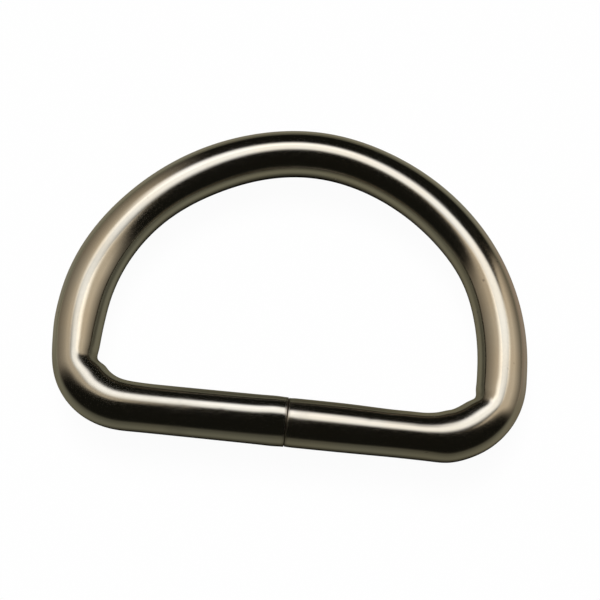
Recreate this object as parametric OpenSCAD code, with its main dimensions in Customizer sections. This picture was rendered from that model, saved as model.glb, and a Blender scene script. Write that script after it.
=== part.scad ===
// A D ring bent from one length of round wire: a straight bar, a quarter bend
// at each end of it, two short straight legs, and a half-round arc over them.
// The wire's two cut ends are butted, not welded, in the middle of the bar.
// The ring lies flat with its underside at z = 0, its bar towards -Y and its
// arc towards +Y, so that its overall size is opening_w + 2 * wire_d by
// opening_w / 2 + leg_h + bend_r + 2 * wire_d by wire_d.

/* [Opening] */
// Clear width between the legs, which is the width of webbing that it takes
opening_w = 25; // [10:0.5:60]
// Inside radius of the bends at the two ends of the bar
bend_r = 2.4; // [0.5:0.1:4]
// Straight length of each leg, between its bend and the arc
leg_h = 0.9; // [0.1:0.1:30]

/* [Wire] */
// Diameter of the wire
wire_d = 3.2; // [1.6:0.1:8]

/* [Seam] */
// Gap between the butted ends of the wire
seam_gap = 0.1; // [0.05:0.05:1]
// Rounding of the rim of each cut end
rim_r = 0.25; // [0.05:0.05:0.75]

/* [Hidden] */
$fn = 96;

wire_r = wire_d / 2;
// Radii of the wire's centreline in the bends and in the arc
bend_line_r = bend_r + wire_r;
arc_line_r = opening_w / 2 + wire_r;
// Half the straight length of the bar
bar_half = arc_line_r - bend_line_r;
// Height of the arc's centre above the bar's centreline
arc_y = bend_line_r + leg_h;
// Place of the bar's centreline when the whole ring is centred on the origin
bar_y = -(arc_y + arc_line_r) / 2;

// Straight wire along +Z, with the rim of its lower end rounded
module cut_wire(length) {
    rotate_extrude()
        union() {
            square([wire_r - rim_r, length]);
            translate([0, rim_r])
                square([wire_r, length - rim_r]);
            translate([wire_r - rim_r, rim_r])
                circle(r = rim_r);
        }
}

// Wire bent about the Z axis, from one angle and through a turn
module bent_wire(line_r, from, turn) {
    rotate_extrude(angle = turn, start = from)
        translate([line_r, 0])
            circle(r = wire_r);
}

// The right-hand half of the bar, its bend and its leg, from the seam upwards
module side_of_ring() {
    translate([seam_gap / 2, 0, 0])
        rotate([0, 90, 0])
            cut_wire(bar_half - seam_gap / 2);
    translate([bar_half, bend_line_r, 0])
        bent_wire(bend_line_r, -90, 90);
    translate([arc_line_r, bend_line_r, 0])
        rotate([-90, 0, 0])
            cylinder(h = leg_h, r = wire_r);
}

module ring() {
    color([0.68, 0.66, 0.60])
        translate([0, bar_y, wire_r])
            union() {
                side_of_ring();
                mirror([1, 0, 0])
                    side_of_ring();
                translate([0, arc_y, 0])
                    bent_wire(arc_line_r, 0, 180);
            }
}

ring();
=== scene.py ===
# A D ring of round wire, nickel plated, lying flat on a pale studio floor.
# Blender 4.5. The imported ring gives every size; its looks are made here.
import math

import bpy
import numpy as np
from mathutils import Matrix, Vector


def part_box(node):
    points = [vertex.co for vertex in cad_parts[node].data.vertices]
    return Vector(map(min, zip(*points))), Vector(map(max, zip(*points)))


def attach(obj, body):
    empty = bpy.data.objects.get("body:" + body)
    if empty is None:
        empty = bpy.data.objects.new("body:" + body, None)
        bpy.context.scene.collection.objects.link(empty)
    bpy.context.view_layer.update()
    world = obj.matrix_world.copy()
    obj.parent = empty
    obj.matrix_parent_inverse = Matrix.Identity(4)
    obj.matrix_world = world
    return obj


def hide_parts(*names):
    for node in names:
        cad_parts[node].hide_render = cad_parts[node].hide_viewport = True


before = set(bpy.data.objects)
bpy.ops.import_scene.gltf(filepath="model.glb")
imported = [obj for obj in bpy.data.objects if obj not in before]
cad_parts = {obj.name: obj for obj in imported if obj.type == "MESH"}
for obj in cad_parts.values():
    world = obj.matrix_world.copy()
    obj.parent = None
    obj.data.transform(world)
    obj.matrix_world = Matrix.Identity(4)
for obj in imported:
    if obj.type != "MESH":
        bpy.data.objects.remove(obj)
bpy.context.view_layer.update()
scene = bpy.context.scene
mm = 0.001

# The wire. Places are in mm along it, from the middle of the bar to the right and
# on round the ring. Angles are in degrees round it, 0 outside the ring and 90 on top.
ring = {
    "bendRadius": 4.0,       # mm, middle of the wire in the two quarter bends
    "bendSoftness": 0.35,    # mm over which a bend starts and stops
    "seamAt": 0.35,          # mm right of the middle of the bar
    "seamGap": 0.008,        # mm between the two cut ends
    "cutLean": (0.05, 0.8),  # how far the cut leans over, mm in each mm of height, and its reach
    "firstEnd": {"rim": 0.06, "taperLength": 0.5, "taper": 0.022},
    "lastEnd": {"rim": 0.05, "taperLength": 1.0, "taper": 0.030},
    "stations": 880,         # rows along the wire
    "around": 96,            # points round it
    # what the bending tools left: place, reach, and how far the outer and the inner
    # side stand proud there, in mm
    "toolMarks": [
        (7.6, 1.8, -0.03, -0.11),    # bar thins before the right bend
        (9.2, 0.5, 0.00, -0.04),
        (10.8, 0.5, 0.05, 0.07),     # corner of the bending jaw
        (12.3, 1.2, 0.00, 0.12),     # squeezed up inside the right bend
        (14.6, 0.5, 0.00, -0.22),    # neck above it
        (18.5, 2.0, 0.00, 0.03),
        (24.3, 2.0, 0.00, -0.10),
        (31.0, 3.0, -0.02, 0.07),
        (38.8, 2.6, 0.11, -0.07),    # top of the arc, pressed outwards
        (46.8, 2.9, 0.00, 0.15),
        (56.2, 2.6, 0.12, -0.02),
        (60.5, 1.0, -0.03, 0.04),
        (63.0, 0.9, -0.14, 0.00),    # left leg, where the arc was let go
        (64.0, 0.6, 0.00, -0.21),    # neck above the left bend
        (65.2, 0.4, 0.00, 0.05),     # burr inside it
        (66.3, 1.3, 0.08, 0.09),     # squeezed up inside the left bend
        (68.4, 0.8, 0.00, 0.05),
    ],
    # where the section leans: place, reach, and the rise of its outer side in each mm
    "leans": [(9.5, 2.5, -0.02), (17.5, 3.0, 0.045), (30.0, 6.0, -0.03), (51.0, 4.0, -0.07),
              (60.5, 2.6, 0.11), (77.5, 2.5, -0.045), (78.9, 0.8, -0.08)],
    # flats and nicks pressed into the skin: place, reach, angle, spread, depth in mm
    "dents": [
        (2.4, 1.6, 100, 26, 0.020),      # flats left by the jaws
        (6.5, 2.5, 102, 28, 0.040),
        (10.2, 1.4, 104, 26, 0.020),
        (73.5, 4.5, 100, 22, -0.026),    # the other end stands a little sharper
        (5.8, 0.14, 114, 7, 0.006),      # nicks
        (40.3, 0.30, 155, 6, 0.004),
        (66.15, 0.30, 119, 14, 0.010),
        (72.6, 0.16, 87, 6, 0.006),
        (75.0, 0.14, 87, 5, 0.006),
    ],
    # where tools rubbed the shine off: place, reach, angle, spread, share
    "rubbed": [
        (12.6, 1.8, 170, 50, 0.4),       # insides of the two bends
        (66.3, 1.8, 170, 50, 0.4),
        (69.0, 5.0, 100, 40, 0.35),      # the left half of the bar is duller
        (72.4, 0.5, 84, 14, 0.4),        # ring marks on top of it
        (39.5, 3.0, 180, 24, 0.3),
        (1.2, 0.5, 90, 60, 0.4),
    ],
    # where the plating has browned: place, reach, angle, spread, share
    "browned": [
        (72.35, 0.6, 29, 16, 0.16),
        (14.5, 0.5, 150, 35, 0.22),
        (64.2, 0.5, 160, 35, 0.22),
    ],
    "seamBrown": (0.08, 0.7),            # reach in mm and share of the browning at the seam
}


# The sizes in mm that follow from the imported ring's box.
def ringSizes(values, low, high):
    radius = (high.z - low.z) / 2
    arcRadius = (high.x - low.x) / 2 - radius
    halfBar = arcRadius - values["bendRadius"]
    leg = (high.y - low.y) - 2 * radius - arcRadius - values["bendRadius"]
    length = 2 * (halfBar + leg) + math.pi * (values["bendRadius"] + arcRadius)
    return {"radius": radius, "arcRadius": arcRadius, "halfBar": halfBar, "leg": leg,
            "length": length, "barY": low.y + radius}


# The wire's middle line. Its heading turns at a steady rate in each bend and in the
# arc, softened where they meet by a bell-shaped mean over 13 places. The line is the
# running sum of short steps along that heading, and what its end misses its start by
# is shared out along it. It goes straight on a little past the end, so that the seam
# need not be in the middle.
def wireLine(place, values, sizes):
    quarter = math.pi / 2 * values["bendRadius"]
    knots = np.cumsum([0, sizes["halfBar"], quarter, sizes["leg"], math.pi * sizes["arcRadius"],
                       sizes["leg"], quarter, sizes["halfBar"]])
    turned = np.radians([0, 0, 90, 90, 270, 270, 360, 360])
    pastEnd, count = 2, 8001      # mm, and places on the line
    fine = np.linspace(0, knots[-1] + pastEnd, count)
    spread = np.linspace(-2.4, 2.4, 13)
    share = np.exp(-spread ** 2 / 2)
    soft = fine[:, None] + spread * values["bendSoftness"]
    heading = np.interp(soft, knots, turned) @ (share / share.sum())
    middle = (heading[1:] + heading[:-1]) / 2
    steps = np.stack([np.cos(middle), np.sin(middle)], 1) * (fine[1] - fine[0])
    line = np.concatenate([[[0, 0]], np.cumsum(steps, 0)])
    missed = [np.interp(knots[-1], fine, line[:, 0]), np.interp(knots[-1], fine, line[:, 1])]
    line -= np.array(missed) * np.clip(fine / knots[-1], 0, 1)[:, None]
    x, y = np.interp(place, fine, line[:, 0]), np.interp(place, fine, line[:, 1])
    return x, y + sizes["barY"], np.interp(place, fine, heading)


# The sum of bell-shaped marks along the wire, one array for each amount in a row.
def marksAlong(place, rows):
    rows = np.array(rows)
    bell = np.exp(-((place[:, None] - rows[:, 0]) / rows[:, 1]) ** 2 / 2)
    return (bell @ rows[:, 2:]).T


# The sum of marks that are bells along the wire and round it as well.
def marksOnSkin(place, turn, rows):
    rows = np.array(rows)
    along = np.exp(-((place[:, None] - rows[:, 0]) / rows[:, 1]) ** 2 / 2)
    away = (turn[:, None] - np.radians(rows[:, 2]) + math.pi) % (2 * math.pi) - math.pi
    return (along * rows[:, 4]) @ np.exp(-(away / np.radians(rows[:, 3])) ** 2 / 2).T


# How far the skin has drawn in at a distance from a cut end: a quarter circle over
# the rim, and a slow taper behind it that fades as a cosine.
def drawnIn(distance, end):
    rim = end["rim"]
    inside = np.clip(rim - distance, 0, rim)
    fade = np.clip(distance / end["taperLength"], 0, 1)
    return rim - np.sqrt(rim ** 2 - inside ** 2) + end["taper"] * (1 + np.cos(math.pi * fade)) / 2


# Data at each point of a mesh, one number or three, for its material to read.
def paint(mesh, name, data):
    kind, slot = ("FLOAT", "value") if data.size == len(mesh.vertices) else ("FLOAT_VECTOR", "vector")
    mesh.attributes.new(name, kind, "POINT").data.foreach_set(slot, data.astype(np.float32).ravel())


# The skin of the wire: an ellipse carried along the middle line. Each tool mark
# swells or thins its outer or inner side, each dent takes away from its radius, and
# a lean shears the ellipse upwards on one side and lifts it back onto the floor. At
# both ends the rows go on over the cut face towards its middle, where a point closes
# them, and the whole cut leans.
def ringMesh(values, sizes):
    radius = sizes["radius"]
    first, last = values["firstEnd"], values["lastEnd"]
    start = values["seamAt"] + values["seamGap"] / 2
    end = sizes["length"] + values["seamAt"] - values["seamGap"] / 2

    faceRows = np.array([0.25, 0.55, 0.85])                 # on a cut face, shares of the radius
    rimRows = 1 - np.cos(np.linspace(0, math.pi / 2, 8))    # closest together at the face
    clear = 0.2                                             # mm from a face to the plain rows
    place = np.concatenate([
        np.full(len(faceRows), start), start + first["rim"] * rimRows,
        np.linspace(start + clear, end - clear, values["stations"]),
        end - last["rim"] * rimRows[::-1], np.full(len(faceRows), end)])
    face = np.concatenate([faceRows, np.ones(len(place) - 2 * len(faceRows)), faceRows[::-1]])
    turn = np.linspace(0, 2 * math.pi, values["around"], endpoint=False)

    x, y, heading = wireLine(place, values, sizes)
    outer, inner = marksAlong(place, values["toolMarks"])
    lean, = marksAlong(place, values["leans"])
    dent = marksOnSkin(place, turn, values["dents"])
    shrink = drawnIn(place - start, first) + drawnIn(end - place, last)
    toCut = np.minimum(place - start, end - place)

    swell, aside = (outer + inner) / 2, (outer - inner) / 2
    reach = (radius - shrink[:, None] - dent) * face[:, None]
    wide = (reach + (face * swell)[:, None]) * np.cos(turn)
    tall = reach * np.sin(turn) + lean[:, None] * wide
    tall += (np.hypot(radius, lean * (radius + swell)) - radius)[:, None]
    off = aside[:, None] + wide
    cutLean, leanReach = values["cutLean"]
    forward = (cutLean * np.exp(-(toCut / leanReach) ** 2))[:, None] * tall
    across, along = np.sin(heading)[:, None], np.cos(heading)[:, None]
    points = np.stack([
        x[:, None] + off * across + forward * along,
        y[:, None] - off * along + forward * across,
        radius + tall], -1)
    skin = np.stack([
        radius * face[:, None] * np.cos(turn), radius * face[:, None] * np.sin(turn),
        np.broadcast_to(place[:, None], off.shape)], -1)
    seamReach, seamShare = values["seamBrown"]
    marks = np.stack([
        marksOnSkin(place, turn, values["rubbed"]),
        marksOnSkin(place, turn, values["browned"]) + seamShare * np.exp(-toCut / seamReach)[:, None],
        np.broadcast_to((1 - face)[:, None], off.shape)], -1)

    rows, cols = off.shape
    index = np.arange(rows * cols).reshape(rows, cols)
    beside = np.roll(index, -1, 1)
    quads = np.stack([index[:-1], index[1:], beside[1:], beside[:-1]], -1).reshape(-1, 4)
    startFan = np.stack([np.full(cols, rows * cols), index[0], beside[0]], -1)
    endFan = np.stack([np.full(cols, rows * cols + 1), beside[-1], index[-1]], -1)
    points, skin, marks = (
        np.concatenate([grid.reshape(-1, 3), grid[[0, -1]].mean(1)]) for grid in (points, skin, marks))

    mesh = bpy.data.meshes.new("ringWire")
    mesh.from_pydata(points * mm, [], quads.tolist() + startFan.tolist() + endFan.tolist())
    mesh.shade_smooth()
    paint(mesh, "wirePlace", skin)
    paint(mesh, "skinMarks", marks)
    mesh.update()
    return mesh


low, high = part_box("ring")
sizes = ringSizes(ring, low / mm, high / mm)
wireMesh = ringMesh(ring, sizes)
ringWire = bpy.data.objects.new("ringWire", wireMesh)
scene.collection.objects.link(ringWire)
print("wire: %.2f mm long, %d faces" % (sizes["length"], len(wireMesh.polygons)))

# The plating. Lengths of its relief are in metres, as Blender's Bump node takes them.
nickel = {
    "colour": (0.69, 0.645, 0.57),
    "warmer": (0.70, 0.625, 0.52),       # drifting patches of it
    "rubbed": (0.60, 0.555, 0.475),      # where tools have dulled it
    "stain": (0.085, 0.050, 0.028),      # brown in the seam and the nicks
    "edgeTint": (0.78, 0.74, 0.66),      # the shine at a grazing angle
    "shiny": 0.095,                      # roughness, from here
    "dull": 0.175,                       # to here
    "rubbedRough": 0.12,                 # more where it is rubbed
    "stainRough": 0.35,
    "waves": (260, 0.0000090),           # noise scale and relief: slow waves left by drawing
    "peel": (1100, 0.0000016),           # the plating's own fine orange peel
    "lines": (0.0000007, (7, 7, 0.16)),  # relief and stretch: draw lines along the wire
    "pits": (1400, 0.0000024),           # sparse pinholes
    "pitSize": (0.05, 0.14),             # their flat middle and their edge, in cells
    "pitPlaces": (0.55, 0.66),           # the drift where they begin and where all show
    "pitStain": 0.35,
    "grain": (5200, 0.6),                # noise scale and roughness: frosting of the shine
    "frosting": (0.7, 1.3),              # grain and lines together where it is shiny, where dull
    "drift": (140, 0.55),                # scale and roughness of the noise under patches and pinholes
    "patches": (0.42, 0.66, 0.8),        # the drift where they begin and are full, their share
    "uneven": (0.3, 0.7, 0.7, 1.3),      # the peel from and to, and what it makes of a painted mark
    "browning": (0.04, 0.9),             # painted share where it begins to show and where it is full
    "cutStain": (0.15, 0.9),             # how far into a cut face it is full, its share
}


# A node in a material, with its plain values set and its sockets joined.
def add(tree, kind, values={}, links={}, **settings):
    node = tree.nodes.new(kind)
    for name, value in settings.items():
        setattr(node, name, value)
    for name, value in values.items():
        node.inputs[name].default_value = value
    for name, socket in links.items():
        tree.links.new(socket, node.inputs[name])
    return node


# One step of arithmetic on two sockets, or on a socket and a number.
def mathOf(tree, operation, first, second):
    isNumber = isinstance(second, (int, float))
    values, links = ({1: second}, {0: first}) if isNumber else ({}, {0: first, 1: second})
    return add(tree, "ShaderNodeMath", values, links, operation=operation).outputs[0]


# A value carried from one range to another, held at its ends.
def mapped(tree, socket, fromLow, fromHigh, toLow, toHigh, kind="SMOOTHSTEP"):
    values = {1: fromLow, 2: fromHigh, 3: toLow, 4: toHigh}
    return add(tree, "ShaderNodeMapRange", values, {0: socket}, interpolation_type=kind).outputs[0]


# From a first colour to a second by a share. Each is a socket or three numbers.
def mixColour(tree, share, first, second):
    node = add(tree, "ShaderNodeMix", links={0: share}, data_type="RGBA")
    for slot, colour in ((6, first), (7, second)):
        if isinstance(colour, tuple):
            node.inputs[slot].default_value = (*colour, 1)
        else:
            tree.links.new(colour, node.inputs[slot])
    return node.outputs[2]


# Bright nickel over drawn steel. Noise that is stretched along the wire gives the
# draw lines, three more give waves, orange peel and pinholes, and a very fine one
# frosts the shine. A slow one warms the colour in patches. The marks painted on the
# skin rub the plating dull or brown it.
def platedNickel(values):
    material = bpy.data.materials.new("platedNickel")
    material.use_nodes = True
    tree = material.node_tree
    surface = tree.nodes["Principled BSDF"]
    place = add(tree, "ShaderNodeTexCoord").outputs["Object"]
    skin = add(tree, "ShaderNodeAttribute", attribute_name="wirePlace").outputs["Vector"]
    painted = add(tree, "ShaderNodeAttribute", attribute_name="skinMarks").outputs["Vector"]
    marks = add(tree, "ShaderNodeSeparateXYZ", links={0: painted})

    stretch = add(tree, "ShaderNodeMapping", {"Scale": values["lines"][1]}, {"Vector": skin})
    lines = add(tree, "ShaderNodeTexNoise", {"Scale": 1, "Detail": 4, "Roughness": 0.7},
                {"Vector": stretch.outputs[0]})
    waves = add(tree, "ShaderNodeTexNoise", {"Scale": values["waves"][0], "Detail": 1}, {"Vector": place})
    peel = add(tree, "ShaderNodeTexNoise", {"Scale": values["peel"][0], "Detail": 2}, {"Vector": place})
    cells = add(tree, "ShaderNodeTexVoronoi", {"Scale": values["pits"][0]}, {"Vector": place})
    grain, drift = (
        add(tree, "ShaderNodeTexNoise", {"Scale": scale, "Detail": 3, "Roughness": rough}, {"Vector": place})
        for scale, rough in (values["grain"], values["drift"]))

    # pinholes: the middles of few cells, where the drifting noise lets them through
    pitMiddle = mapped(tree, cells.outputs["Distance"], *values["pitSize"], 1, 0)
    pitMask = mapped(tree, drift.outputs["Fac"], *values["pitPlaces"], 0, 1)
    pits = mathOf(tree, "MULTIPLY", pitMiddle, pitMask)

    # the painted marks, made a little uneven by the peel's noise
    uneven = mapped(tree, peel.outputs["Fac"], *values["uneven"], "LINEAR")
    rubbed = mathOf(tree, "MULTIPLY", marks.outputs[0], uneven)
    rubbed = mapped(tree, rubbed, 0, 1, 0, 1, "LINEAR")
    brown = mathOf(tree, "MULTIPLY", marks.outputs[1], uneven)
    brown = mapped(tree, brown, *values["browning"], 0, 1, "LINEAR")
    cutFull, cutShare = values["cutStain"]
    cut = mapped(tree, marks.outputs[2], 0, cutFull, 0, cutShare)
    pitStain = mathOf(tree, "MULTIPLY", pits, values["pitStain"])
    stain = mathOf(tree, "MAXIMUM", mathOf(tree, "MAXIMUM", brown, cut), pitStain)

    begin, full, share = values["patches"]
    patches = mapped(tree, drift.outputs["Fac"], begin, full, 0, share)
    colour = mixColour(tree, patches, values["colour"], values["warmer"])
    colour = mixColour(tree, rubbed, colour, values["rubbed"])
    colour = mixColour(tree, stain, colour, values["stain"])
    tree.links.new(colour, surface.inputs["Base Color"])

    frost = mathOf(tree, "ADD", grain.outputs["Fac"], lines.outputs["Fac"])
    rough = mapped(tree, frost, *values["frosting"], values["shiny"], values["dull"], "LINEAR")
    rough = mathOf(tree, "ADD", rough, mathOf(tree, "MULTIPLY", rubbed, values["rubbedRough"]))
    rough = mathOf(tree, "ADD", rough, mathOf(tree, "MULTIPLY", stain, values["stainRough"]))
    tree.links.new(rough, surface.inputs["Roughness"])
    surface.inputs["Metallic"].default_value = 1

    # a chain of bumps, each on top of the one before, the pinholes inwards
    reliefs = ((waves.outputs["Fac"], values["waves"][1]), (peel.outputs["Fac"], values["peel"][1]),
               (lines.outputs["Fac"], values["lines"][0]), (pits, -values["pits"][1]))
    normal = None
    for height, relief in reliefs:
        bump = add(tree, "ShaderNodeBump", {"Strength": 1, "Distance": abs(relief)}, {"Height": height},
                   invert=relief < 0)
        if normal:
            tree.links.new(normal, bump.inputs["Normal"])
        normal = bump.outputs[0]
    tree.links.new(normal, surface.inputs["Normal"])
    surface.inputs["Specular Tint"].default_value = (*values["edgeTint"], 1)
    return material


wireMesh.materials.append(platedNickel(nickel))
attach(ringWire, "root")
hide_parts("ring")
print("plating: waves, peel, draw lines, pinholes, rubbed and browned marks")

# The studio: a floor in a room, with lit cloths over and round the ring. The camera
# sees floor and room as white, with a faint painted shadow under the wire, and the
# cloths not at all. What the metal mirrors is placed apart from that: a darker floor
# with painted shadow and painted light on it, a dark room and the cloths.
studio = {
    "floorSize": 3.0,                     # m
    "fineFloor": (60, 151),               # mm across and points, in the fine part of the floor
    "floorPale": 0.995,                   # what the camera sees
    # painted shadow: how much of the camera's pale floor is darkened under the wire
    "shadowUnderWire": 0.03,                    # how much of that is lost under the wire
    # painted shadow of the wire on the floor, thrown to the front and the right
    "shadow": (0.3, -1.0),                # mm, how far the wire's shadow is thrown
    "shadowPlaces": 320,                  # places along the wire that throw it
    "shadowNarrow": 1.5,                  # how much narrower it is sideways
    "shadowEdge": (0.5, 3.7),             # mm from dark to light
    # what the metal mirrors of the floor is painted light and shade: its colour, painted shade behind the
    # bar, a painted fall to the front and the back, painted warm light from the right cloth and painted pale
    # light close round the wire
    "floorInMetal": (0.198, 0.198, 0.150),    # what the wire mirrors
    "darkInside": (0.6, 8, 4, -2.5, 3.5),  # share lost behind the bar; mm: half width, edge, middle, reach
    "darkerFront": (-11, 9, 0.2),         # mm: from here, halved over this, down to this share
    "darkerBack": (18, 14, 0.2),
    "warmBeside": (0.085, 0.030, 0.030),  # light from the right cloth on the floor
    "besideSize": (13, 4, 3, 9),          # mm: where it starts and grows, its middle and reach to the back
    "paleAround": (0.11, 2.5, 8),         # light close outside the wire, and its middle and reach in mm
    "paleFrom": (-8, 5),                  # mm: it starts here and grows over this, to the back
    "secondLook": 0.35,                   # how much is left in a mirror image of the metal itself
    "paleSky": 0.995,
    "skyInMetal": (0.0078, 0.0078, 0.0060),
    "horizonGlow": (0.075, 0.073, 0.054),
    "horizonShape": (0.22, 3.0),          # how high it reaches, and the power by which it fades
    "horizonBehind": (0.4, 0.3),          # how far back it has fallen to its share there, that share
}
# Cloths of the light tent. Corners run round from the lower left, in mm, as seen
# from the ring. A round cloth fades in over a share of its half-round front, and each
# fades in over a share of its sides: left, right, bottom, top. Its light grows from
# foot to 1, where it has climbed to fullAt of its height.
cloths = {
    "topCloth": {
        "corners": [(-64, 8, 100), (74, -10, 100), (74, 64, 100), (-64, 64, 100)], "round": 0.42,
        "fades": (0, 0, 0, 0.30), "colour": (0.98, 1.0, 1.0),
        "strength": 1.35, "foot": 1.0, "fullAt": 1.0,
    },
    "backCloth": {
        "corners": [(-52, 50, 36), (34, 50, 56), (34, 50, 112), (-52, 50, 112)], "round": 0,
        "fades": (0.30, 0.45, 0.40, 0.48), "colour": (0.95, 0.97, 1.0),
        "strength": 1.5, "foot": 1.0, "fullAt": 1.0,
    },
    "leftCloth": {
        "corners": [(-70, -30, 0), (-70, 152, 0), (-70, 152, 420), (-70, 14, 420)], "round": 0,
        "fades": (0.11, 0.50, 0, 0.25), "colour": (1.0, 0.88, 0.69),
        "strength": 0.56, "foot": 0.28, "fullAt": 0.26,
    },
    "rightCloth": {
        "corners": [(103, 100, 0), (103, -46, 0), (103, -12, 420), (103, 100, 420)], "round": 0,
        "fades": (0.12, 0.24, 0, 0.20), "colour": (1.0, 0.88, 0.69),
        "strength": 0.64, "foot": 0.16, "fullAt": 0.22,
    },
}


# A smooth step from 0 to 1.
def smooth(t):
    t = np.clip(t, 0, 1)
    return t * t * (3 - 2 * t)


# The floor's painted light and shade, as the metal mirrors it: a painted shadow in a
# smooth step out from under the wire's thrown shadow, a slow painted fall of the kind
# 1 / (1 + x) to the front and the back, a painted warm glow right of the ring, a
# painted pale one close round its outside, and painted shade, darker, behind the bar.
def paintedFloorLight(values, sizes, x, y):
    places = np.linspace(0, sizes["length"], values["shadowPlaces"])
    lineX, lineY, _ = wireLine(places, ring, sizes)
    thrownX, thrownY = values["shadow"]
    aside = x[..., None] - lineX - thrownX
    toFront = y[..., None] - lineY - thrownY
    fromWire = np.hypot(values["shadowNarrow"] * aside, toFront).min(-1)
    # the painted shadow: the floor's glow stepped down towards the wire
    dark, light = values["shadowEdge"]
    paintedShadow = smooth((fromWire - dark) / (light - dark))

    # painted fall of the floor's light to the front and the back
    front, frontHalf, frontLeast = values["darkerFront"]
    back, backHalf, backLeast = values["darkerBack"]
    fall = frontLeast + (1 - frontLeast) / (1 + np.maximum(front - y, 0) / frontHalf)
    fall *= backLeast + (1 - backLeast) / (1 + np.maximum(y - back, 0) / backHalf)
    # painted pale light close round the wire's outside
    outside = np.hypot(x, y - sizes["barY"] - sizes["leg"] - ring["bendRadius"]) - sizes["arcRadius"]
    pale, middle, reach = values["paleAround"]
    paleStart, paleGrowth = values["paleFrom"]
    around = np.exp(-((outside - middle) / reach) ** 2) * (outside > 0)
    around *= smooth((y - paleStart) / paleGrowth)
    # painted warm light from the right cloth
    besideStart, besideGrowth, besideY, besideReach = values["besideSize"]
    beside = smooth((x - besideStart) / besideGrowth) * np.exp(-((y - besideY) / besideReach) ** 2)
    # painted shade behind the bar, inside the ring
    lost, halfWidth, edge, insideY, insideReach = values["darkInside"]
    inside = smooth((halfWidth - np.abs(x)) / edge + 0.5) * np.exp(-((y - insideY) / insideReach) ** 2)
    colour = np.array(values["floorInMetal"]) + beside[..., None] * np.array(values["warmBeside"])
    colour = (colour + pale * around[..., None]) * (paintedShadow * fall * (1 - lost * inside))[..., None]
    return colour, paintedShadow


# A sheet of the studio: a grid of points in mm, joined by faces of four.
def gridSheet(name, points):
    rows, cols, _ = points.shape
    index = np.arange(rows * cols).reshape(rows, cols)
    faces = np.stack([index[:-1, :-1], index[:-1, 1:], index[1:, 1:], index[1:, :-1]], -1)
    mesh = bpy.data.meshes.new(name)
    mesh.from_pydata(points.reshape(-1, 3) * mm, [], faces.reshape(-1, 4).tolist())
    sheet = bpy.data.objects.new(name, mesh)
    scene.collection.objects.link(sheet)
    return sheet


# The start of a material that only shines, and how much of its light is left: all of
# it in the camera and where the metal mirrors it, and less where the metal mirrors
# metal that mirrors it. The step lies between the first and the second mirroring.
def shiningPaint(name, mesh, secondLook):
    material = bpy.data.materials.new(name)
    material.use_nodes = True
    material.cycles.emission_sampling = "NONE"
    mesh.materials.append(material)
    tree = material.node_tree
    tree.nodes.remove(tree.nodes["Principled BSDF"])
    path = add(tree, "ShaderNodeLightPath")
    left = mapped(tree, path.outputs["Ray Depth"], 1.2, 1.8, 1, secondLook)
    return tree, path, left


# The floor: a fine grid round the ring, with long cells from there to its edge. The
# camera sees it pale, with a faint painted shadow under the wire, and the metal
# mirrors the painted light and shade that paintedFloorLight gives it.
def paleFloor(values, sizes):
    fineSize, points = values["fineFloor"]
    half = values["floorSize"] / 2 / mm
    side = np.concatenate([[-half], np.linspace(-fineSize / 2, fineSize / 2, points), [half]])
    x, y = np.meshgrid(side, side)
    floor = gridSheet("floor", np.stack([x, y, 0 * x], -1))
    colour, paintedShadow = paintedFloorLight(values, sizes, x, y)
    paint(floor.data, "inMetal", colour)
    paint(floor.data, "paintedShadow", paintedShadow)

    tree, path, left = shiningPaint("floorPaint", floor.data, values["secondLook"])
    mirrored = add(tree, "ShaderNodeAttribute", attribute_name="inMetal").outputs["Vector"]
    # the painted shadow, which the camera sees faintly under the wire
    near = add(tree, "ShaderNodeAttribute", attribute_name="paintedShadow").outputs["Fac"]
    shadowUnderWire = values["floorPale"] * (1 - values["shadowUnderWire"])
    pale = mapped(tree, near, 0, 1, shadowUnderWire, values["floorPale"], "LINEAR")
    look = mixColour(tree, path.outputs["Is Glossy Ray"], pale, mirrored)
    glow = add(tree, "ShaderNodeEmission", links={"Color": look, "Strength": left})
    tree.links.new(glow.outputs[0], tree.nodes["Material Output"].inputs[0])


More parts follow.
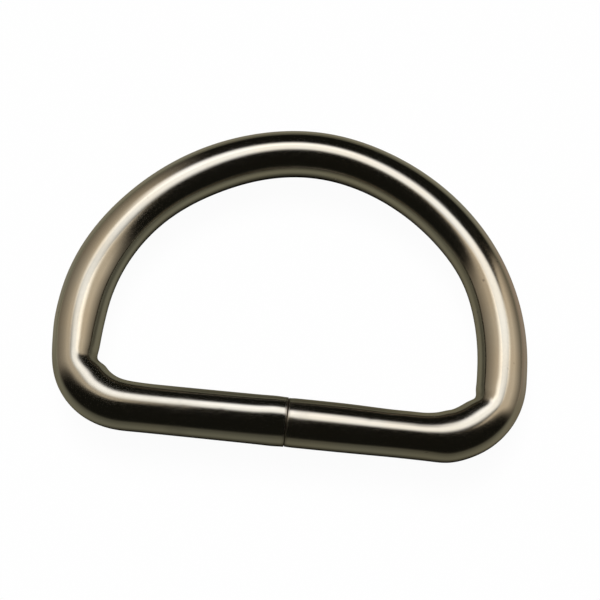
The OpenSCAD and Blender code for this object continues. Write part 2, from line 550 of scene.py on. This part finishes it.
# A lit cloth: a flat grid between four corners. Its light climbs in a straight line
# and holds, and steps smoothly down to nothing at its four sides, or round the half
# circle about the middle of its upper side.
def litCloth(name, values, secondLook, sidePoints=28):
    side = np.linspace(0, 1, sidePoints)
    right, up = np.meshgrid(side, side)
    corners = np.array(values["corners"])
    lower = corners[0] + right[..., None] * (corners[1] - corners[0])
    upper = corners[3] + right[..., None] * (corners[2] - corners[3])
    cloth = gridSheet(name, lower + up[..., None] * (upper - lower))
    climb = values["foot"] + (1 - values["foot"]) * np.minimum(up / values["fullAt"], 1)
    glow = values["strength"] * climb
    fromRound = 1 - np.hypot(2 * right - 1, 1 - up)
    edges = zip((right, 1 - right, up, 1 - up, fromRound), (*values["fades"], values["round"]))
    for distance, share in edges:
        if share:
            glow = glow * smooth(distance / share)
    paint(cloth.data, "glow", glow)

    tree, _, left = shiningPaint(name, cloth.data, secondLook)
    light = add(tree, "ShaderNodeAttribute", attribute_name="glow").outputs["Fac"]
    shine = add(tree, "ShaderNodeEmission", {"Color": (*values["colour"], 1)},
                {"Strength": mathOf(tree, "MULTIPLY", light, left)})
    through = add(tree, "ShaderNodeBsdfTransparent")
    both = add(tree, "ShaderNodeAddShader", links={0: shine.outputs[0], 1: through.outputs[0]})
    tree.links.new(both.outputs[0], tree.nodes["Material Output"].inputs[0])
    cloth.visible_camera = False
    cloth.visible_shadow = False


# The room: pale to the camera, and to the metal dark, with a glow low in front. The
# glow fades upwards as a power of the height that is left, and towards the back.
def darkRoom(values):
    world = bpy.data.worlds.new("room")
    scene.world = world
    world.use_nodes = True
    world.cycles.sampling_method = "NONE"
    tree = world.node_tree
    path = add(tree, "ShaderNodeLightPath")
    place = add(tree, "ShaderNodeTexCoord")
    axes = add(tree, "ShaderNodeSeparateXYZ", links={0: place.outputs["Generated"]})
    height, power = values["horizonShape"]
    low = mapped(tree, axes.outputs["Z"], 0, height, 1, 0, "LINEAR")
    low = mathOf(tree, "POWER", low, power)
    back, share = values["horizonBehind"]
    front = mapped(tree, axes.outputs["Y"], back, -back, share, 1)
    glow = mathOf(tree, "MULTIPLY", low, front)
    metal = mixColour(tree, glow, values["skyInMetal"], values["horizonGlow"])
    look = mixColour(tree, path.outputs["Is Glossy Ray"], (values["paleSky"],) * 3, metal)
    tree.links.new(look, tree.nodes["Background"].inputs["Color"])


paleFloor(studio, sizes)
for name, values in cloths.items():
    litCloth(name, values, studio["secondLook"])
darkRoom(studio)
print("studio: floor, %d cloths, room" % len(cloths))

# The camera, in mm, with its roll in degrees.
view = {
    "from": (3.053, -25.932, 76.571),
    "towards": (0.338, -0.581, 0.0),
    "roll": -0.3,
    "lens": 70.75,
    "sensor": 36,
    "sees": (0.005, 10),      # m, its nearest and furthest
}
eye = bpy.data.objects.new("eye", bpy.data.cameras.new("eye"))
scene.collection.objects.link(eye)
aim = Vector(view["towards"]) - Vector(view["from"])
eye.matrix_world = (Matrix.Translation(Vector(view["from"]) * mm)
                    @ aim.to_track_quat("-Z", "Y").to_matrix().to_4x4()
                    @ Matrix.Rotation(math.radians(view["roll"]), 4, "Z"))
eye.data.lens = view["lens"]
eye.data.sensor_width = view["sensor"]
eye.data.clip_start, eye.data.clip_end = view["sees"]
scene.camera = eye
scene.view_settings.view_transform = "Standard"
print("camera: set")
